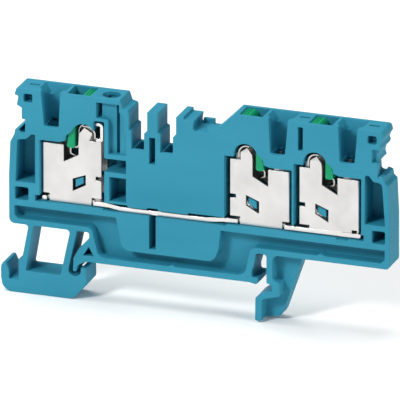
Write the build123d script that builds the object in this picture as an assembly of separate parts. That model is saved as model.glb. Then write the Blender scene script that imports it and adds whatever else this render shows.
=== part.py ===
"""Three-conductor push-in feed-through terminal block for a 35 mm mounting rail.

X runs along the block, Y across its width and Z up from the rail. The origin is the middle of
the rail seat. The open near face looks towards -Y. The three clamps share one shape: each is
drawn in its own (u, z) plane, where u runs from the inner wall of its cavity to its wire side.
"""
from build123d import *
from math import cos, radians, sin, tan
import os

# Moulding: overall size
block_width = 5.1
left_reach = 29.0
right_reach = 38.15
deck_height = 29.5
body_floor = 5.3
rigid_foot_depth = 6.7
flexible_foot_depth = 6.95

# Moulding: walls, and depths behind the near face
back_wall = 0.65
near_web = 0.45
deep_pocket = 4.3
long_pocket_depth = 2.2
rib_depth = 2.3
embed = 0.4

# Mounting rail that the feet hold
rail_width = 35.0
rail_grip = 0.55
rail_gap = 1.2

# Clamps: where the inner wall of each cavity stands
left_clamp = -12.1
middle_clamp = 9.1
clamp_pitch = 12.2

# Clamp cavity, and how far below the deck its roof, its shoulder and the spring's arc lie
cavity_length = 11.85
left_cavity_length = 11.45
cavity_floor = 9.75
roof_drop = 8.75
shoulder_drop = 7.5
arc_drop = 7.1

# Folded sheet of a clamp cage
sheet = 0.4
fold_radius = 0.3
cage_front = 0.8
cage_width = 3.4
cage_gap = 0.77
cage_length = 10.5
cage_foot_gap = 0.08
guide_start = 8.05
guide_length = 0.8
guide_drop = 0.6

# Current bar, which runs in front of the cages' near plates
bar_thickness = 0.75
bar_front = 0.6
bar_width = 3.15
bar_lift = 0.2
bar_dip = 0.37
bar_clearance = 0.05
bar_slot_sink = 0.22
bar_slot_rise = 0.9

# Leaf spring, whose legs run close in front of the cage's far plate
leaf = 0.3
leaf_width = 2.0
leaf_side_gap = 0.1
arc_radius = 1.55
arc_u = 3.7
left_leg_shift = 0.4

# Release pusher
pusher_tilt = 9.0
pusher_fit = 0.08
pusher_travel = 1.5
pusher_recess = 0.3
pusher_top = 1.45
finger_width = 1.45
grip_groove = 0.18

# Wire funnel and release window in the deck
funnel_inner = 8.05
funnel_length = 2.6
funnel_spread = 0.55
funnel_flare = 0.75
funnel_floor_drop = 6.4
funnel_throat_drop = 1.7
mouth_front = 0.35
mouth_cut = 1.2
window_start = 2.45
window_length = 4.15

# Cross-connector channels
channel_width = 2.25
channel_pitch = 5.1
first_channel = -7.3
channel_floor_drop = 8.4
channel_shelf_drop = 5.1
channel_shelf = 0.45
cross_pit_ledge = 0.35

# Round test hole, and the contact strip beside it
test_hole_x = -11.5
test_hole_y = 2.3
test_hole_diameter = 3.1
test_roof = 0.9
test_pin_well = 2.1
test_strip = 0.55

# Slots for marker tags in the deck
marker_slot_length = 1.8
marker_slot_width = 0.7
marker_slot_depth = 1.3
marker_slot_y = 2.7

near = -block_width / 2
cavity_depth = block_width - back_wall
through = block_width + 1.0
cavity_roof = deck_height - roof_drop
shoulder_height = deck_height - shoulder_drop
arc_height = deck_height - arc_drop
bar_back = bar_front + bar_width
rail_left = rail_grip - rail_width / 2
rail_right = rail_width / 2
clamps = {
    "left": (left_clamp, -1),
    "middle": (middle_clamp, 1),
    "right": (middle_clamp + clamp_pitch, 1),
}


def outline(corners):
    """Closed XZ face from (x, z) corners, or (x, z, radius) where a corner is round."""
    points = [(corner[0], corner[1]) for corner in corners]
    radii = [corner[2] if len(corner) > 2 else 0.0 for corner in corners]
    return make_face(Plane.XZ * FilletPolyline(*points, radius=radii, close=True))


def slab(corners, start, end):
    """Solid with an XZ outline, between two depths behind the near face."""
    face = Pos(0, near + start, 0) * outline(corners)
    return extrude(face, amount=end - start, dir=(0, 1, 0))


def block(x_start, x_end, start, end, z_start, z_end):
    """Plain box between two X, two depths and two Z."""
    corners = [(x_start, z_start), (x_end, z_start), (x_end, z_end), (x_start, z_end)]
    return slab(corners, start, end)


def local(name, corners):
    """Corners of one clamp's (u, z) plane, carried to the block's X."""
    origin, side = clamps[name]
    return [(origin + side * corner[0], *corner[1:]) for corner in corners]


def left_end():
    """Corners of the left end of the body, from its floor up to the deck."""
    insets_and_drops = [
        (0.0, 15.5),
        (0.25, 9.7),
        (1.0, 8.2),
        (1.1, 7.45),
        (2.95, 5.75),
        (3.2, 5.5),
        (2.3, 5.4),
        (2.3, 3.45),
        (1.45, 3.0),
        (1.7, 1.4),
        (1.1, 1.25),
        (1.1, 0.95),
    ]
    corners = [(-left_reach, body_floor, 1.0)]
    corners += [(inset - left_reach, deck_height - drop) for inset, drop in insets_and_drops]
    corners.append((1.4 - left_reach, deck_height, 0.3))
    return corners


def right_end():
    """Corners of the right end, from the deck round its catch and its notch to the floor."""
    insets_drops_and_radii = [
        (1.4, 0.0, 0.6),
        (1.1, 1.05, 0.2),
        (1.55, 1.8, 0.2),
        (1.7, 2.35, 0),
        (1.5, 2.9, 0),
        (1.65, 3.3, 0),
        (2.2, 3.8, 0),
        (2.45, 4.8, 0),
        (2.2, 5.6, 0),
        (3.2, 5.6, 0),
        (3.05, 8.25, 0.5),
        (2.2, 8.3, 0.3),
        (1.85, 7.8, 0),
        (1.05, 8.05, 0),
        (0.9, 9.0, 0),
        (0.3, 9.5, 0),
        (0.0, 15.5, 0),
    ]
    corners = [
        (right_reach - inset, deck_height - drop, radius)
        for inset, drop, radius in insets_drops_and_radii
    ]
    corners.append((right_reach, body_floor, 0.6))
    return corners


def channel_profile(left):
    """Corners of one cross-connector channel: a narrow slot that widens above its shelves."""
    right = left + channel_width
    floor = deck_height - channel_floor_drop
    shelf = deck_height - channel_shelf_drop
    return [
        (left - channel_shelf, shelf + 0.1),
        (left, shelf - 0.1),
        (left, floor),
        (right, floor),
        (right, shelf - 0.3),
        (right + channel_shelf + 0.1, shelf + 0.1),
    ]


def body_profile():
    """Corners of the whole body above its floor, clockwise from the left end."""
    first = first_channel
    second = first_channel + channel_pitch
    post_top = deck_height - 1.5
    marker_floor = deck_height - 3.9
    module_left = second + channel_width + channel_shelf + 0.1
    corners = left_end()
    corners += [
        (first - 2.0, deck_height, 0.2),
        (first - 1.5, post_top, 0.2),
        (first - 0.65, post_top - 0.2),
        (first - channel_shelf, post_top - 0.5),
    ]
    corners += channel_profile(first)
    corners += [
        (first + channel_width + channel_shelf + 0.1, post_top, 0.15),
        (second - channel_shelf, post_top),
    ]
    corners += channel_profile(second)
    corners += [
        (module_left, post_top - 0.3),
        (module_left + 0.3, post_top),
        (module_left + 1.35, post_top),
        (module_left + 1.4, post_top - 0.55),
        (module_left + 3.15, post_top - 0.55),
        (module_left + 2.95, marker_floor + 0.45),
        (module_left + 3.3, marker_floor),
        (module_left + 6.3, marker_floor, 0.3),
        (module_left + 6.3 + deck_height - marker_floor, deck_height, 0.4),
    ]
    corners += right_end()
    return corners


def marker_walls():
    """The two low walls that hold a marker strip beside the middle module."""
    start = first_channel + channel_pitch + channel_width + channel_shelf + 0.1
    floor = deck_height - 4.1
    rear = block(start + 3.3, start + 5.25, cavity_depth, block_width, floor, floor + 1.1)
    front = block(start + 5.6, start + 7.6, 0, 2.0, floor, floor + 1.2)
    return rear + front


def seat_block():
    """The part of the body between the feet that stands on the rail."""
    left = rail_left
    right = rail_right
    top = body_floor
    corners = [
        (left + 1.3, top + embed),
        (left + 1.3, top),
        (left + 2.15, top, 0.4),
        (left + 2.15, top - 1.0),
        (left + 0.35, 2.25, 1.2),
        (left - 0.65, 0.4, 1.0),
        (left - 0.75, -1.95, 0.15),
        (left - 0.15, -1.95, 0.15),
        (left, -1.35),
        (left, -0.9),
        (left + 1.2, -0.15, 0.3),
        (left + 1.95, 0.0),
        (right - 4.0, 0.0),
        (right - 2.8, -0.2, 0.15),
        (right - 2.45, 0.05),
        (right - 2.45, 0.9),
        (right - 3.53, 0.95, 0.3),
        (right - 3.6, 1.9, 0.5),
        (right - 3.0, top - 1.4, 1.5),
        (right - 2.9, top, 0.6),
        (right - 2.2, top),
        (right - 2.2, top + embed),
    ]
    return slab(corners, 0, block_width)


def flexible_foot():
    """The sprung left foot: two thin legs, a base with a screwdriver slot and a rail catch."""
    left = rail_left
    top = body_floor
    bottom = -flexible_foot_depth
    whole = [
        (left - 10.2, top + embed),
        (left - 10.2, top),
        (left - 8.6, top, 0.5),
        (left - 9.8, -1.0, 0.15),
        (left - 10.4, -1.0),
        (left - 10.4, -4.75, 0.2),
        (left - 12.15, -4.75, 0.2),
        (left - 12.15, -3.1),
        (left - 12.7, -1.95),
        (left - 13.25, -1.95, 0.15),
        (left - 13.55, -2.6),
        (left - 13.55, -4.5, 1.2),
        (left - 13.15, bottom, 1.9),
        (left - 0.75, bottom, 1.6),
        (left + 1.65, -4.1, 0.8),
        (left + 1.55, -rail_gap, 0.2),
        (left + 0.65, -rail_gap, 0.2),
        (left + 0.65, -2.8, 1.05),
        (left - 1.55, -2.8, 1.05),
        (left - 1.55, -1.65),
        (left - 0.05, top, 0.4),
        (left + 0.8, top),
        (left + 0.8, top + embed),
    ]
    window = [
        (left - 7.75, top, 0.5),
        (left - 1.2, top, 0.6),
        (left - 2.95, -2.95, 0.3),
        (left - 9.15, -2.95, 0.3),
    ]
    return slab(whole, 0, block_width) - slab(window, -1, through)


def rigid_foot():
    """The fixed right foot: a ribbed hook behind a recess, with a tooth under the rail."""
    right = rail_right
    top = body_floor
    bottom = -rigid_foot_depth
    whole = [
        (right - 1.65, top + embed),
        (right - 1.65, top),
        (right - 0.95, top, 0.6),
        (right - 0.95, 0.2),
        (right - 0.5, 0.1),
        (right, -0.2),
        (right, 0.1 - rail_gap),
        (right - 1.3, -1.4),
        (right - 2.9, -2.6, 0.4),
        (right - 2.95, bottom + 0.1, 0.25),
        (right - 2.3, bottom, 0.3),
        (right + 0.8, bottom + 0.5, 0.8),
        (right + 1.25, bottom + 1.3, 0.4),
        (right + 4.9, top, 0.2),
        (right + 5.2, top),
        (right + 5.2, top + embed),
    ]
    recess = [
        (right + 0.1, top, 1.0),
        (right + 0.1, 1.0, 0.5),
        (right + 1.35, 0.4, 0.3),
        (right + 1.35, -1.9, 0.3),
        (right - 1.75, -2.8, 0.3),
        (right - 1.85, bottom - 1.0),
        (right + 7.5, bottom - 1.0),
        (right + 7.5, top),
    ]
    return slab(whole, 0, block_width) - slab(recess, -1, rib_depth)


def bump(middle, height, half_width, rise):
    """Low triangular bump on the lower rim of the long pocket."""
    corners = [
        (middle - half_width, height - embed),
        (middle + half_width, height - embed),
        (middle + half_width, height),
        (middle, height + rise, 0.15),
        (middle - half_width, height),
    ]
    return slab(corners, 0, long_pocket_depth + embed)


def long_pocket():
    """The shallow trough along the foot of the body, which leaves the middle boss standing."""
    top = cavity_floor - 1.2
    low = body_floor + 0.95
    seat = 1.05
    boss_foot = 2.85
    trough = slab(
        [
            (0.95 - left_reach, top, 0.2),
            (0.95 - left_reach, low + 0.65),
            (1.6 - left_reach, low),
            (rail_left + 2.6, low, 1.2),
            (rail_left + 3.8, seat, 1.4),
            (rail_right - 4.8, seat, 1.8),
            (rail_right - 3.75, low, 1.2),
            (right_reach - 1.5, low),
            (right_reach - 0.85, low + 0.65),
            (right_reach - 0.85, top, 0.2),
        ],
        -1,
        long_pocket_depth,
    )
    boss = slab(
        [
            (-10.05, top + embed),
            (-10.05, top),
            (-9.35, 5.0, 1.5),
            (-8.9, boss_foot, 1.6),
            (7.2, boss_foot, 1.6),
            (8.1, 5.2, 1.5),
            (8.45, top),
            (8.45, top + embed),
        ],
        -1,
        long_pocket_depth,
    )
    return trough - boss - bump(-0.15, seat, 0.6, 0.3) - bump(26.05, low, 0.8, 0.35)


def rectangle(x_start, x_end, z_start, z_end, radius=0.0):
    """Corners of a level rectangle with rounded corners."""
    return [
        (x_start, z_start, radius),
        (x_end, z_start, radius),
        (x_end, z_end, radius),
        (x_start, z_end, radius),
    ]


def side_pockets():
    """The deep pockets and small holes that lighten the two ends."""
    deck = deck_height
    foot = cavity_floor + 3.1
    sill = cavity_floor - 0.1
    left_tall = [
        (4.65 - left_reach, deck - 8.0),
        (4.0 - left_reach, deck - 8.0),
        (3.1 - left_reach, deck - 8.9, 0.4),
        (1.5 - left_reach, deck - 9.2, 0.4),
        (1.15 - left_reach, foot),
        (4.65 - left_reach, foot),
    ]
    right_tall = [
        (right_reach - 4.35, foot),
        (right_reach - 4.35, deck - 8.0, 0.3),
        (right_reach - 3.65, deck - 8.0, 0.3),
        (right_reach - 2.85, deck - 9.0, 0.4),
        (right_reach - 1.35, deck - 9.1, 0.8),
        (right_reach - 0.8, foot),
    ]
    left_hole = 2.65 - left_reach
    right_hole = right_reach - 3.9
    pockets = [
        left_tall,
        right_tall,
        rectangle(1.05 - left_reach, 3.45 - left_reach, sill, sill + 2.3, 0.3),
        rectangle(right_reach - 3.1, right_reach - 0.8, sill, sill + 2.25, 0.3),
        rectangle(left_hole, left_hole + 1.55, deck - 2.35, deck - 0.87, 0.3),
        rectangle(right_hole, right_hole + 1.6, deck - 2.35, deck - 0.9, 0.4),
        rectangle(22.05, 22.9, deck - 5.0, deck - 0.9, 0.15),
        rectangle(-4.15, -3.1, deck - 10.65, deck - 6.0),
        rectangle(-4.2, -3.0, 3.7, cavity_floor),
    ]
    cut = slab(pockets[0], -1, deep_pocket)
    for corners in pockets[1:]:
        cut += slab(corners, -1, deep_pocket)
    lug_hollow = [
        (1.75 - left_reach, deck - 7.4),
        (2.9 - left_reach, deck - 6.15),
        (2.9 - left_reach, deck - 7.75),
        (2.3 - left_reach, deck - 7.8),
    ]
    neck_recess = block(right_reach - 3.15, right_reach, -1, 0.9, deck - 5.6, deck - 3.3)
    return cut + slab(lug_hollow, -1, 3.0) + neck_recess


def right_lug():
    """Lug at the near face that closes part of the right end's notch."""
    end = right_reach
    deck = deck_height
    return block(end - 3.2, end - 2.1, 0, 1.2, deck - 8.4, deck - 5.6)


def test_pocket():
    """The open pockets beside the left clamp, and the round test hole in the deck above them."""
    deck = deck_height
    roof = deck - test_roof
    ledge = deck - 3.6
    floor = deck - 9.8
    far_left = left_clamp - 1.4
    left = left_clamp + 0.75
    right = left_clamp + 3.85
    groove = (right - 1.9, right - 1.2)
    shallow = [
        (far_left, roof),
        (groove[1], roof),
        (groove[1], floor),
        (left, floor),
        (left, ledge - 0.2, 0.4),
        (far_left, ledge),
    ]
    strip = [
        (groove[0], roof - 1.4),
        (groove[1] + 0.1, roof - 1.4),
        (right - 0.4, roof - 2.0),
        (right - 0.35, roof - 5.0),
        (right, roof - 5.3),
        (right, floor),
        (groove[0], floor),
    ]
    cut = slab(shallow, -1, 1.0)
    cut += slab(strip, -1, 0.5)
    cut += block(groove[0], groove[1], -1, 2.0, floor, roof)
    cut += block(far_left, left_clamp - 0.7, -1, 3.5, ledge, roof)
    cut += block(left_clamp - 0.2, right, -1, cavity_depth, deck - 13.0, deck - 10.65)
    cut += block(left + 0.15, right, -1, deep_pocket, cavity_floor + 1.65, deck - 13.85)
    half = test_pin_well / 2
    well_depths = (test_hole_y - 0.85, test_hole_y + test_hole_diameter / 2 + 0.1)
    cut += block(test_hole_x - half, test_hole_x + half, *well_depths, ledge, roof + 0.1)
    hole = Pos(test_hole_x, near + test_hole_y, deck)
    return cut + hole * Cylinder(test_hole_diameter / 2, 2 * test_roof)


def plan_section(name, start, end, depth, height):
    """Level section of a funnel: open at the near face, rounded at its far corners."""
    origin, side = clamps[name]
    x_values = sorted([origin + side * start, origin + side * end])
    corner = 0.45 * (end - start)
    path = FilletPolyline(
        (x_values[0], near - 1.0),
        (x_values[0], near + depth),
        (x_values[1], near + depth),
        (x_values[1], near - 1.0),
        radius=[0, corner, corner, 0],
        close=True,
    )
    return Pos(0, 0, height) * make_face(path)


def mouth_section(name, start, end, depth, height, cut):
    """Level section of a funnel's mouth: closed, with its two near corners cut off."""
    origin, side = clamps[name]
    x_start, x_end = sorted([origin + side * start, origin + side * end])
    front = near + mouth_front
    path = Polyline(
        (x_start + cut, front),
        (x_start, front + cut),
        (x_start, near + depth),
        (x_end, near + depth),
        (x_end, front + cut),
        (x_end - cut, front),
        close=True,
    )
    return Pos(0, 0, height) * make_face(path)


def funnel(name):
    """Wire entry: a tapered well, its countersunk mouth, and the passage down into the cage."""
    floor = deck_height - funnel_floor_drop
    throat = deck_height - funnel_throat_drop
    top = deck_height + 0.05
    inner = funnel_inner
    outer = funnel_inner + funnel_length
    wide_inner = inner - funnel_spread / 2
    wide_outer = outer + funnel_spread
    well = loft([
        plan_section(name, inner, outer, deep_pocket - 0.1, floor),
        plan_section(name, wide_inner, wide_outer, deep_pocket, top),
    ])
    rounded = [
        (inner - 1.0, top + 1.0),
        (inner - 0.05, floor, 0.9),
        (outer + 0.05, floor, 0.9),
        (outer + 1.5, top + 1.0),
    ]
    well &= slab(local(name, rounded), -2, block_width)
    mouth = loft([
        mouth_section(name, inner + 0.05, outer + 0.25, deep_pocket - 0.1, throat, 0.8),
        mouth_section(
            name,
            wide_inner - funnel_flare + 0.1,
            wide_outer + funnel_flare - 0.1,
            deep_pocket + 0.25,
            top,
            mouth_cut,
        ),
    ])
    passage = rectangle(inner + 0.2, outer - 0.2, cavity_roof - 0.5, floor + 0.5)
    whole = well + mouth + slab(local(name, passage), 1.0, deep_pocket - 0.5)
    guide_end = guide_start + guide_length
    guide_slot = rectangle(
        guide_start - 0.1, guide_end + 0.1, cavity_roof - 0.5, floor - guide_drop + 0.1
    )
    return whole + slab(local(name, guide_slot), deep_pocket - 0.9, cavity_depth)


def pusher_lean(height):
    """How far a pusher at this height stands back from its finger's foot, along u."""
    foot = arc_height - 2.1
    return (height - foot) * tan(radians(pusher_tilt))


def pusher_corners():
    """Corners of a pusher: a thin finger on the spring and a wide head under the deck."""
    tip = arc_height - 2.6
    clear = arc_radius + 0.15
    finger_left = arc_u + clear
    finger_right = finger_left + finger_width
    travel_down = pusher_travel * cos(radians(pusher_tilt))
    neck = arc_height + clear * 1.41 + travel_down - clear
    head = arc_height + clear + travel_down + 0.6
    top = deck_height - pusher_recess
    head_left = window_start + pusher_fit + 0.05
    return [
        (finger_left, tip, 0.3),
        (finger_right, tip, 0.4),
        (finger_right - pusher_lean(neck), neck, 0.4),
        (head_left + pusher_top + 0.65, top - 1.6),
        (head_left + pusher_top + 0.5, top - 0.5),
        (head_left + pusher_top, top, 0.1),
        (head_left, top, 0.15),
        (head_left + pusher_lean(top) - pusher_lean(head), head),
        (finger_left + neck - head, head),
        (finger_left, neck),
    ]


def pusher(name):
    """Release pusher of one clamp, with its grooved head behind the thin near web."""
    top = deck_height - pusher_recess
    shape = slab(local(name, pusher_corners()), near_web + pusher_fit, cavity_depth - pusher_fit)
    for share in (1 / 3, 2 / 3):
        start = window_start + pusher_fit + 0.05 + share * pusher_top - grip_groove / 2
        groove = rectangle(start, start + grip_groove, top - 0.12, top + 1.0)
        shape -= slab(local(name, groove), 0, block_width)
    return shape


def pusher_channel(name):
    """Slanted channel of a pusher and the window that shows its head in the deck."""
    tip = cavity_roof - 0.2
    neck_right = arc_u + arc_radius + 0.15 + finger_width + pusher_fit
    top = deck_height + 0.05
    head_left = window_start + 0.05
    head_bottom = arc_height + arc_radius + 0.45
    window_floor = deck_height - 2.4
    window_end = window_start + window_length
    corners = [
        (head_left, top),
        (window_end, top),
        (window_end, window_floor, 0.3),
        (neck_right - pusher_lean(window_floor), window_floor),
        (neck_right - pusher_lean(tip), tip),
        (arc_u + arc_radius, tip),
        (head_left + pusher_lean(top) - pusher_lean(head_bottom), head_bottom),
    ]
    return slab(local(name, corners), near_web, cavity_depth)


def cavity(name):
    """Clamp cavity, open at the near face, with an arch over the spring."""
    floor = cavity_floor
    roof = cavity_roof
    length = left_cavity_length if name == "left" else cavity_length
    arch_radius = arc_radius + 0.5
    over = roof + 2.35
    corners = [
        (0.0, floor),
        (length, floor),
        (length, roof),
        (8.0, roof, 0.5),
        (6.9, roof + 0.35),
        (6.8, roof + 1.25),
        (5.5, over),
        (arc_u, over),
        (arc_u - arch_radius, arc_height),
        (arc_u - arch_radius, shoulder_height),
        (0.0, shoulder_height),
    ]
    room = slab(local(name, corners), -1, cavity_depth)
    origin, side = clamps[name]
    place = Pos(origin + side * arc_u, near + cavity_depth / 2 - 0.5, arc_height)
    room += place * Rot(90, 0, 0) * Cylinder(arch_radius, cavity_depth + 1.0)
    if name != "middle":
        toe = rectangle(11.0, cavity_length + 0.45, floor, floor + 1.1)
        room += slab(local(name, toe), -1, cavity_depth)
    if name == "left":
        contact_room = [
            (0.0, shoulder_height - 0.5),
            (1.9, shoulder_height - 0.5),
            (1.9, shoulder_height + 3.25, 0.3),
            (0.0, shoulder_height + 3.25, 0.3),
        ]
        room += slab(local(name, contact_room), -1, cavity_depth)
    return room


def hole_corners():
    """Corners of the slanting hole in a cage."""
    base = cavity_floor
    return [(3.55, base + 3.6), (5.87, base + 2.3), (5.87, base + 4.5), (3.55, base + 5.4)]


def peg(name):
    """Peg of the housing that stands in the hole of a cage, clear of it all round."""
    base = cavity_floor
    corners = [(4.0, base + 3.8), (5.4, base + 3.0), (5.4, base + 4.35), (4.0, base + 4.9)]
    return slab(local(name, corners), cage_front + 0.15, cavity_depth + 0.1)


def bar_slot():
    """Slot that the current bar lies in between the left and the middle clamp."""
    floor = cavity_floor - bar_slot_sink
    roof = cavity_floor + bar_slot_rise
    left = left_clamp - 0.3
    right = middle_clamp + 0.3
    depth = bar_back + 0.15
    slot = block(left, right, -1, depth, floor, roof)
    for start, end in ((left, -8.0), (-4.6, -2.6), (2.7, right)):
        slot += block(start, end, -1, depth, floor, roof + 0.3)
    rib_start = middle_clamp + cavity_length - 0.2
    rib_end = middle_clamp + clamp_pitch + 0.2
    slot += block(rib_start, rib_end, -1, cavity_depth, cavity_floor, cavity_floor + 1.25)
    notch_end = clamps["right"][0] + 9.5
    slot += block(notch_end - 2.0, notch_end, -1, 1.0, cavity_floor - 0.25, cavity_floor + 0.1)
    return slot


def cross_pits():
    """Deep pits below the channels, for a plug-in bridge that reaches the bar."""
    bottom = cavity_floor + bar_slot_rise - 0.1
    top = deck_height - channel_floor_drop + 0.1
    pits = []
    for index in range(2):
        left = first_channel + channel_pitch * index + cross_pit_ledge
        right = left + channel_width - 2 * cross_pit_ledge
        pits.append(block(left, right, 0.7, deep_pocket - 0.1, bottom, top))
    return pits[0] + pits[1]


def marker_slots():
    """Short slots in the deck for marker tags, over the ends and between two clamps."""
    half = marker_slot_length / 2
    front = marker_slot_y - marker_slot_width / 2
    back = marker_slot_y + marker_slot_width / 2
    bottom = deck_height - marker_slot_depth
    top = deck_height + 0.1
    slots = []
    for middle in (3.75 - left_reach, 22.4, right_reach - 3.55):
        slots.append(block(middle - half, middle + half, front, back, bottom, top))
    return slots[0] + slots[1] + slots[2]


def housing():
    """The whole moulding: body, both feet, and everything that is cut into them."""
    body = slab(body_profile(), 0, block_width)
    body += seat_block()
    body += flexible_foot()
    body += rigid_foot()
    body += marker_walls()
    body -= long_pocket()
    body -= side_pockets()
    body += right_lug()
    body -= test_pocket()
    for name in clamps:
        body -= cavity(name)
        body -= pusher_channel(name)
        body -= funnel(name)
    body -= bar_slot()
    body -= cross_pits()
    body -= marker_slots()
    triangle = [(rail_left + 1.05, 1.08), (rail_left + 3.0, 1.15), (rail_left + 2.05, 2.72)]
    body -= slab(triangle, -1, through)
    for name in clamps:
        body += peg(name)
    return body


def cage_corners(name, bottom):
    """Corners of a cage's side plate, from its foot round to its head and wire side."""
    base = cavity_floor
    left = cage_gap
    right = cage_gap + cage_length
    foot = base + 1.45
    shoulder = shoulder_height - 0.7
    head_left = arc_u - arc_radius + leaf + 0.15
    head_right = arc_u + arc_radius - leaf - 0.25
    notch_right = 7.45
    if name == "left":
        head_right += 0.1
        head_flank = [(head_left + 0.3, shoulder, 0.1), (head_left - 0.3, arc_height + 0.35, 0.2)]
    else:
        head_flank = [(head_left, shoulder), (head_left, arc_height + 0.3, 0.3)]
    return [
        (left, foot),
        (left, foot + 3.2),
        (left + 1.0, foot + 3.2, 0.1),
        (left + 1.0, foot + 3.9, 0.1),
        (left, foot + 3.9),
        (left, shoulder),
        *head_flank,
        (arc_u + 0.1, arc_height + 1.15, 0.3),
        (head_right - 0.1, arc_height, 0.4),
        (head_right, arc_height - 0.9),
        (head_right, arc_height - 3.8),
        (notch_right, arc_height - 5.3),
        (notch_right, arc_height - 2.3),
        (right, arc_height - 2.3),
        (right, foot),
        (right - 1.3, foot, 0.1),
        (right - 1.3, bottom),
        (left + 1.75, bottom),
        (left + 1.75, foot, 0.1),
    ]


def clamp_cage(name):
    """Folded sheet cage: two side plates, the web on its wire side, and a tongue that guides the wire."""
    bar_top = cavity_floor + bar_lift + bar_thickness
    standing = name == "right"
    bottom = bar_top + 0.02 if standing else cavity_floor + cage_foot_gap
    right = cage_gap + cage_length
    top = arc_height - 2.3
    foot = bar_top + 0.02 if standing else cavity_floor + 1.45
    back = cage_front + cage_width
    corners = local(name, cage_corners(name, bottom))
    plates = slab(corners, cage_front, cage_front + sheet) + slab(corners, back - sheet, back)
    web = slab(local(name, rectangle(right - sheet, right, foot, top)), cage_front, back)
    folds = web.edges().filter_by(Axis.Z)
    outer_x = clamps[name][0] + clamps[name][1] * right
    outer_folds = [fold for fold in folds if abs(fold.center().X - outer_x) < 0.01]
    corner = fillet(outer_folds, fold_radius)
    waste = web - corner
    guide_top = deck_height - funnel_floor_drop - guide_drop
    guide = rectangle(guide_start, guide_start + guide_length, top - sheet, guide_top)
    cage = plates + web - waste + slab(local(name, guide), back - sheet, back)
    return cage - slab(local(name, hole_corners()), 0, block_width)


def current_bar():
    """Stamped bar under the three clamps, cranked down between the left and the middle one."""
    low = cavity_floor + bar_lift
    dip = low - bar_dip
    start = left_clamp - 11.2
    end = clamps["right"][0] + 11.6
    lower_edge = [(start, low), (-11.5, low), (-9.4, dip), (5.9, dip), (8.6, low), (end, low, 0.35)]
    upper_edge = [(corner[0], corner[1] + bar_thickness) for corner in reversed(lower_edge)]
    bar = slab(lower_edge + upper_edge, bar_front, bar_back)
    for name in ("left", "middle"):
        relief = rectangle(cage_gap + 1.4, cage_gap + cage_length - 0.9, low - 1.0, low + 2.0)
        bar -= slab(local(name, relief), 0, cage_front + sheet + bar_clearance)
    return bar


def clamp_spring(name):
    """Leaf spring: a fixed leg, an arc over the cage's heads, a nose for the pusher and a blade."""
    base = cavity_floor
    middle = arc_radius - leaf / 2
    left = arc_u - middle - (left_leg_shift if name == "left" else 0.0)
    right = arc_u + middle
    nose = right + 1.45
    nose_top = arc_height - 2.8
    crown = arc_height + middle
    path = [
        (left, base + 2.85, 0),
        (left, crown, middle * 0.98),
        (right, crown, middle * 0.98),
        (right, nose_top, 0.5),
        (nose, nose_top, 0.5),
        (nose, nose_top - 1.2, 0.3),
        (right - 0.1, nose_top - 1.85, 0.3),
        (10.4, base + 4.75, 0),
    ]
    points = [(x, z) for x, z, radius in local(name, path)]
    line = FilletPolyline(*points, radius=[corner[2] for corner in path[1:-1]])
    strip = make_face(offset(line, amount=leaf / 2, kind=Kind.TANGENT, side=Side.BOTH))
    face = Plane.XZ * strip
    start = cage_front + cage_width - sheet - leaf_side_gap - leaf_width
    legs = extrude(Pos(0, near + start, 0) * face, amount=leaf_width, dir=(0, 1, 0))
    wide = extrude(Pos(0, near + cage_front, 0) * face, amount=cage_width, dir=(0, 1, 0))
    crown_room = rectangle(left - 1.0, arc_u + 0.4, arc_height - 0.7, crown + 1.0)
    wide &= slab(local(name, crown_room), 0, block_width)
    return legs + wide


def test_contact():
    """Bent strip on the shoulder of the left cage, below the test hole."""
    shoulder = shoulder_height - 0.7
    upright = 0.7
    path = [
        (1.6, shoulder + 3.1),
        (upright, shoulder + 3.1),
        (upright, shoulder + test_strip / 2),
        (1.5, shoulder + test_strip / 2),
    ]
    line = FilletPolyline(*local("left", path), radius=[0.5, 0.3])
    face = make_face(offset(line, amount=test_strip / 2, kind=Kind.TANGENT, side=Side.BOTH))
    strip = Pos(0, near + cage_front, 0) * (Plane.XZ * face)
    return extrude(strip, amount=cage_width, dir=(0, 1, 0))


def main():
    """Writes one file for each piece."""
    pieces = {"housing": housing(), "current_bar": current_bar(), "test_contact": test_contact()}
    for name in clamps:
        pieces["clamp_cage_" + name] = clamp_cage(name)
        pieces["clamp_spring_" + name] = clamp_spring(name)
        pieces["pusher_" + name] = pusher(name)
    os.makedirs("parts", exist_ok=True)
    for name, piece in pieces.items():
        export_step(piece, os.path.join("parts", name + ".step"))


main()
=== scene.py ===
"""Looks of the three-conductor feed-through terminal block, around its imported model."""
import math

import bmesh
import bpy
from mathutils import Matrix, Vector
from mathutils.bvhtree import BVHTree


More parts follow.
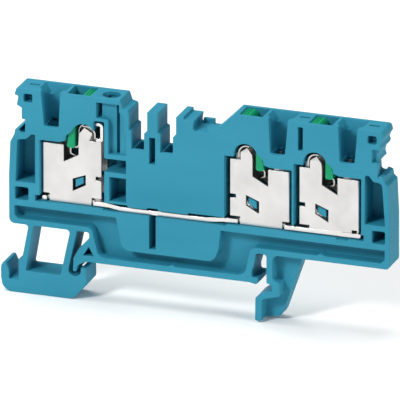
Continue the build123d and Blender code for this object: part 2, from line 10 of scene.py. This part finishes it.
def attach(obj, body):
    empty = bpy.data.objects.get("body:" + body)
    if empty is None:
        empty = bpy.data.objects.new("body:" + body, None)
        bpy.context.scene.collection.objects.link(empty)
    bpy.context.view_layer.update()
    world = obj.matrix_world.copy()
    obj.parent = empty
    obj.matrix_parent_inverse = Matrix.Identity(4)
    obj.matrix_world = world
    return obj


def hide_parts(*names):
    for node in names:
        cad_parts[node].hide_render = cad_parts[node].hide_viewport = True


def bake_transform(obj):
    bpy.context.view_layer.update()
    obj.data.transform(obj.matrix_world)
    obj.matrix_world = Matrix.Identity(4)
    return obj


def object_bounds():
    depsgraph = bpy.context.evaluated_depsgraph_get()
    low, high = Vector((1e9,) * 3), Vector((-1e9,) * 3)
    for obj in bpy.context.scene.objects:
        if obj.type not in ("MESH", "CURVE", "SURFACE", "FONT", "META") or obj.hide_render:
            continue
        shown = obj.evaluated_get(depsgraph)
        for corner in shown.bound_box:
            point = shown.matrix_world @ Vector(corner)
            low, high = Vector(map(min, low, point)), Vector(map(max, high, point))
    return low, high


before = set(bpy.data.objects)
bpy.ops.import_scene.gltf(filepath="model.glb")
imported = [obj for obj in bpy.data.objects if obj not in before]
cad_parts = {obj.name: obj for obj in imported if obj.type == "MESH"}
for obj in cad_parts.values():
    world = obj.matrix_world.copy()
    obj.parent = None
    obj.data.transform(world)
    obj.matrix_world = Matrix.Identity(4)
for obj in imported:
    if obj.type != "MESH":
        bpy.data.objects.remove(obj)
cad_low, cad_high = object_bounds()

MM = 0.001
CLAMPS = ("left", "middle", "right")

# Camera of the photograph: a long lens, turned to the right and raised
PHOTO_AZIMUTH = 19.4
PHOTO_ELEVATION = 20.6
PHOTO_WIDTH = 66.56 * MM
LENS = 1500.0
SENSOR = 36.0
NEAR_FACE = -2.55 * MM
AIM = Vector((4.85 * MM, NEAR_FACE, 13.57 * MM))
CLIP_START = 0.5
CLIP_END = 10.0

# Rounded edges that each process leaves
MOULDED_EDGE = 0.07 * MM
PUSHER_EDGE = 0.05 * MM
SHEET_EDGE = 0.05 * MM

# How a CAD mesh is joined up, where it is rounded, and when a rounded corner has strayed
WELD_GAP = 0.0005 * MM
FLAT_ANGLE = math.radians(0.5)
SHARP_ANGLE = math.radians(40)
STRAY_SHARE = 0.5

# Plastic: the grain of the mould, coarser than a real one so that it shows, and the flow streaks
MOULD_GRIT = 0.16 * MM
PLASTIC_SPREAD = 0.05
FLOW_CLOUD = 9 * MM
FLOW_STRETCH = (0.35, 1.0, 1.0)

# Metal: rolling lines, coarser than real ones so that they show, and the cloudy plating
METAL_SPREAD = 0.06
SHEET_GRAIN = 0.05 * MM
SPRING_GRAIN = 0.04 * MM
ROLLING_RELIEF = 0.01 * MM
PLATING_CLOUD = 4 * MM

# Floor, just under the feet
FLOOR_HALF = 3.0
FLOOR_GAP = 0.02 * MM

# Strength of the even light that comes from all around
ROOM_STRENGTH = 0.12

# Name, place, size and power of each light: the key comes from the upper left,
# the others fill the decks, the right end and the back
LIGHTS = [
    ("key_light", (-0.36, -0.66, 0.58), 0.2, 5.8),
    ("top_light", (-0.1, 0.05, 0.9), 0.6, 5.9),
    ("right_fill", (0.9, -0.25, 0.3), 0.3, 3.0),
    ("back_fill", (-0.8, 0.6, 0.2), 0.4, 4.0),
]


def srgb(code):
    """Linear RGBA of an sRGB hex colour."""
    values = [int(code[i:i + 2], 16) / 255 for i in (1, 3, 5)]
    return tuple(v / 12.92 if v <= 0.04045 else ((v + 0.055) / 1.055) ** 2.4 for v in values) + (1.0,)


def add_node(tree, kind, settings=None, inputs=None):
    """Adds a node, sets its properties, and sets or links its inputs."""
    made = tree.nodes.new(kind)
    for key, value in (settings or {}).items():
        setattr(made, key, value)
    for key, value in (inputs or {}).items():
        if isinstance(value, bpy.types.NodeSocket):
            tree.links.new(value, made.inputs[key])
        else:
            made.inputs[key].default_value = value
    return made


def new_material(name):
    """Empty node material, with its tree and output node."""
    material = bpy.data.materials.new(name)
    material.use_nodes = True
    material.node_tree.nodes.clear()
    output = add_node(material.node_tree, "ShaderNodeOutputMaterial")
    return material, material.node_tree, output


def ramp(tree, factor, stops):
    """Colour ramp through (place, hex colour) stops."""
    made = add_node(tree, "ShaderNodeValToRGB", inputs={"Fac": factor})
    elements = made.color_ramp.elements
    while len(elements) < len(stops):
        elements.new(0.5)
    for element, (place, code) in zip(elements, stops):
        element.position = place
        element.color = srgb(code)
    return made.outputs["Color"]


def moulded_polyamide(name, stops, rough, grit_height):
    """Unfilled polyamide from an eroded mould: a close matt grain and faint flow streaks."""
    material, tree, output = new_material(name)
    place = add_node(tree, "ShaderNodeTexCoord").outputs["Object"]
    streak_place = add_node(
        tree,
        "ShaderNodeMapping",
        inputs={"Vector": place, "Scale": FLOW_STRETCH},
    ).outputs["Vector"]
    cloud = add_node(
        tree,
        "ShaderNodeTexNoise",
        inputs={"Vector": streak_place, "Scale": 1 / FLOW_CLOUD, "Detail": 3.0, "Roughness": 0.5},
    )
    grit = add_node(
        tree,
        "ShaderNodeTexNoise",
        inputs={"Vector": place, "Scale": 1 / MOULD_GRIT, "Detail": 2.0, "Roughness": 0.6},
    )
    bump = add_node(
        tree,
        "ShaderNodeBump",
        inputs={"Height": grit.outputs["Fac"], "Strength": 0.35, "Distance": grit_height},
    )
    sheen = add_node(
        tree,
        "ShaderNodeMapRange",
        inputs={
            "Value": grit.outputs["Fac"],
            "To Min": rough - PLASTIC_SPREAD,
            "To Max": rough + PLASTIC_SPREAD,
        },
    )
    shader = add_node(
        tree,
        "ShaderNodeBsdfPrincipled",
        inputs={
            "Base Color": ramp(tree, cloud.outputs["Fac"], stops),
            "Roughness": sheen.outputs["Result"],
            "IOR": 1.53,
            "Specular IOR Level": 0.22,
            "Normal": bump.outputs["Normal"],
        },
    )
    tree.links.new(shader.outputs["BSDF"], output.inputs["Surface"])
    return material


def rolled_metal(name, stops, rough, grain_size, grain_stretch):
    """Rolled and plated strip: fine grain along the rolling direction under a soft shine."""
    material, tree, output = new_material(name)
    place = add_node(tree, "ShaderNodeTexCoord").outputs["Object"]
    grain_place = add_node(
        tree,
        "ShaderNodeMapping",
        inputs={"Vector": place, "Scale": grain_stretch},
    ).outputs["Vector"]
    grain = add_node(
        tree,
        "ShaderNodeTexNoise",
        inputs={"Vector": grain_place, "Scale": 1 / grain_size, "Detail": 3.0, "Roughness": 0.6},
    )
    cloud = add_node(
        tree,
        "ShaderNodeTexNoise",
        inputs={"Vector": place, "Scale": 1 / PLATING_CLOUD, "Detail": 2.0},
    )
    bump = add_node(
        tree,
        "ShaderNodeBump",
        inputs={"Height": grain.outputs["Fac"], "Strength": 0.2, "Distance": ROLLING_RELIEF},
    )
    sheen = add_node(
        tree,
        "ShaderNodeMapRange",
        inputs={
            "Value": grain.outputs["Fac"],
            "To Min": rough - METAL_SPREAD,
            "To Max": rough + METAL_SPREAD,
        },
    )
    shader = add_node(
        tree,
        "ShaderNodeBsdfPrincipled",
        inputs={
            "Base Color": ramp(tree, cloud.outputs["Fac"], stops),
            "Metallic": 1.0,
            "Roughness": sheen.outputs["Result"],
            "Normal": bump.outputs["Normal"],
        },
    )
    tree.links.new(shader.outputs["BSDF"], output.inputs["Surface"])
    return material


# Blue polyamide 66 housing: matt, even, a little lighter where the melt flowed thin
housing_blue = moulded_polyamide(
    "moulded_polyamide_blue", [(0.3, "#27839C"), (0.7, "#2F8BA5")], 0.62, 0.012 * MM
)
# Green polyamide pushers: a little glossier than the housing
pusher_green = moulded_polyamide(
    "moulded_polyamide_green", [(0.3, "#028F5F"), (0.7, "#069867")], 0.5, 0.01 * MM
)
# Tin-plated copper alloy sheet of the cages: almost white, satin
plated_sheet = rolled_metal(
    "tin_plated_sheet", [(0.3, "#CCCAC8"), (0.7, "#DAD8D7")], 0.34, SHEET_GRAIN, (1.0, 1.0, 0.06)
)
# Tin-plated copper bar: as the cages, rolled along its length
plated_bar = rolled_metal(
    "tin_plated_copper", [(0.3, "#D6D4D2"), (0.7, "#E4E2E0")], 0.3, SHEET_GRAIN, (0.06, 1.0, 1.0)
)
# Stainless spring strip: as rolled, with sharper reflections; its base colour is darker than the plated
# parts, partly because stainless steel is darker and partly as painted shade for the shade the springs
# lie in deep in the clamp cavities
spring_strip = rolled_metal(
    "stainless_spring_strip", [(0.3, "#AEADAB"), (0.7, "#C0BFBD")], 0.16, SPRING_GRAIN, (1.0, 0.08, 1.0)
)


def rounded_mesh(node, width):
    """Copy of a CAD node's mesh, joined up and with its sharp edges rounded by a process."""
    source = bmesh.new()
    source.from_mesh(node.data)
    surface = BVHTree.FromBMesh(source)
    shape = source.copy()
    source.free()
    bmesh.ops.remove_doubles(shape, verts=shape.verts, dist=WELD_GAP)
    bmesh.ops.dissolve_limit(shape, angle_limit=FLAT_ANGLE, verts=shape.verts, edges=shape.edges)
    sharp = [edge for edge in shape.edges if edge.is_manifold and edge.calc_face_angle() > SHARP_ANGLE]
    bmesh.ops.bevel(
        shape,
        geom=sharp,
        offset=width,
        offset_type="OFFSET",
        segments=2,
        profile=0.5,
        affect="EDGES",
        clamp_overlap=False,
    )
    for vertex in shape.verts:
        nearest, _, _, distance = surface.find_nearest(vertex.co)
        if distance > STRAY_SHARE * width:
            vertex.co = nearest
    bmesh.ops.triangulate(shape, faces=[face for face in shape.faces if len(face.verts) > 4])
    for face in shape.faces:
        face.smooth = True
    mesh = bpy.data.meshes.new(node.name + "_finished")
    shape.to_mesh(mesh)
    shape.free()
    return mesh


def finish_piece(name, material, width):
    """Stands a finished copy in the place of a CAD node."""
    piece = bpy.data.objects.new(name + "_finished", rounded_mesh(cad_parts[name], width))
    bpy.context.scene.collection.objects.link(piece)
    piece.data.materials.append(material)
    normals = piece.modifiers.new("even_shading", "WEIGHTED_NORMAL")
    normals.keep_sharp = True
    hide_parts(name)
    return piece


def finish_rigid(name, body, material, width):
    """Finished copy of a rigid node, on that node's body."""
    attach(finish_piece(name, material, width), body)


def finish_spring(name):
    """Finished copy of a leaf spring, with its placement baked into the mesh where it stands."""
    piece = finish_piece("clamp_spring_" + name, spring_strip, SHEET_EDGE)
    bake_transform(piece)


finish_rigid("housing", "block", housing_blue, MOULDED_EDGE)
finish_rigid("current_bar", "block", plated_bar, SHEET_EDGE)
finish_rigid("test_contact", "block", plated_bar, SHEET_EDGE)
for clamp in CLAMPS:
    finish_rigid("clamp_cage_" + clamp, "block", plated_sheet, SHEET_EDGE)
    finish_rigid("pusher_" + clamp, clamp + "_pusher", pusher_green, PUSHER_EDGE)
    finish_spring(clamp)


def make_camera():
    """Camera at the photograph's viewing angle and scale."""
    azimuth = math.radians(PHOTO_AZIMUTH)
    elevation = math.radians(PHOTO_ELEVATION)
    back = Vector((
        math.sin(azimuth) * math.cos(elevation),
        -math.cos(azimuth) * math.cos(elevation),
        math.sin(elevation),
    ))
    data = bpy.data.cameras.new("photo_camera")
    data.lens = LENS
    data.sensor_width = SENSOR
    camera = bpy.data.objects.new("photo_camera", data)
    camera.location = AIM + back * (PHOTO_WIDTH * LENS / SENSOR)
    camera.rotation_mode = "QUATERNION"
    camera.rotation_quaternion = (-back).to_track_quat("-Z", "Y")
    data.clip_start = CLIP_START
    data.clip_end = CLIP_END
    bpy.context.scene.collection.objects.link(camera)
    bpy.context.scene.camera = camera


def make_floor():
    """Plain pale floor just under the feet."""
    material, tree, output = new_material("pale_floor")
    shader = add_node(
        tree,
        "ShaderNodeBsdfPrincipled",
        inputs={"Base Color": srgb("#FBFBFA"), "Roughness": 0.95},
    )
    tree.links.new(shader.outputs["BSDF"], output.inputs["Surface"])
    height = cad_low.z - FLOOR_GAP
    mesh = bpy.data.meshes.new("floor")
    corners = [
        (-FLOOR_HALF, -FLOOR_HALF, height),
        (FLOOR_HALF, -FLOOR_HALF, height),
        (FLOOR_HALF, FLOOR_HALF, height),
        (-FLOOR_HALF, FLOOR_HALF, height),
    ]
    mesh.from_pydata(corners, [], [(0, 1, 2, 3)])
    floor = bpy.data.objects.new("floor", mesh)
    mesh.materials.append(material)
    bpy.context.scene.collection.objects.link(floor)


def make_light(name, place, size, power):
    """Square soft light that looks at the middle of the block."""
    data = bpy.data.lights.new(name, "AREA")
    data.size = size
    data.energy = power
    light = bpy.data.objects.new(name, data)
    light.location = Vector(place)
    light.rotation_mode = "QUATERNION"
    light.rotation_quaternion = (AIM - Vector(place)).to_track_quat("-Z", "Y")
    bpy.context.scene.collection.objects.link(light)


def make_world(strength):
    """Even white surroundings."""
    world = bpy.data.worlds.new("white_room")
    world.use_nodes = True
    background = world.node_tree.nodes["Background"]
    background.inputs["Color"].default_value = srgb("#FFFFFF")
    background.inputs["Strength"].default_value = strength
    bpy.context.scene.world = world


make_camera()
make_floor()
make_world(ROOM_STRENGTH)
for light in LIGHTS:
    make_light(*light)
bpy.context.scene.view_settings.view_transform = "Standard"
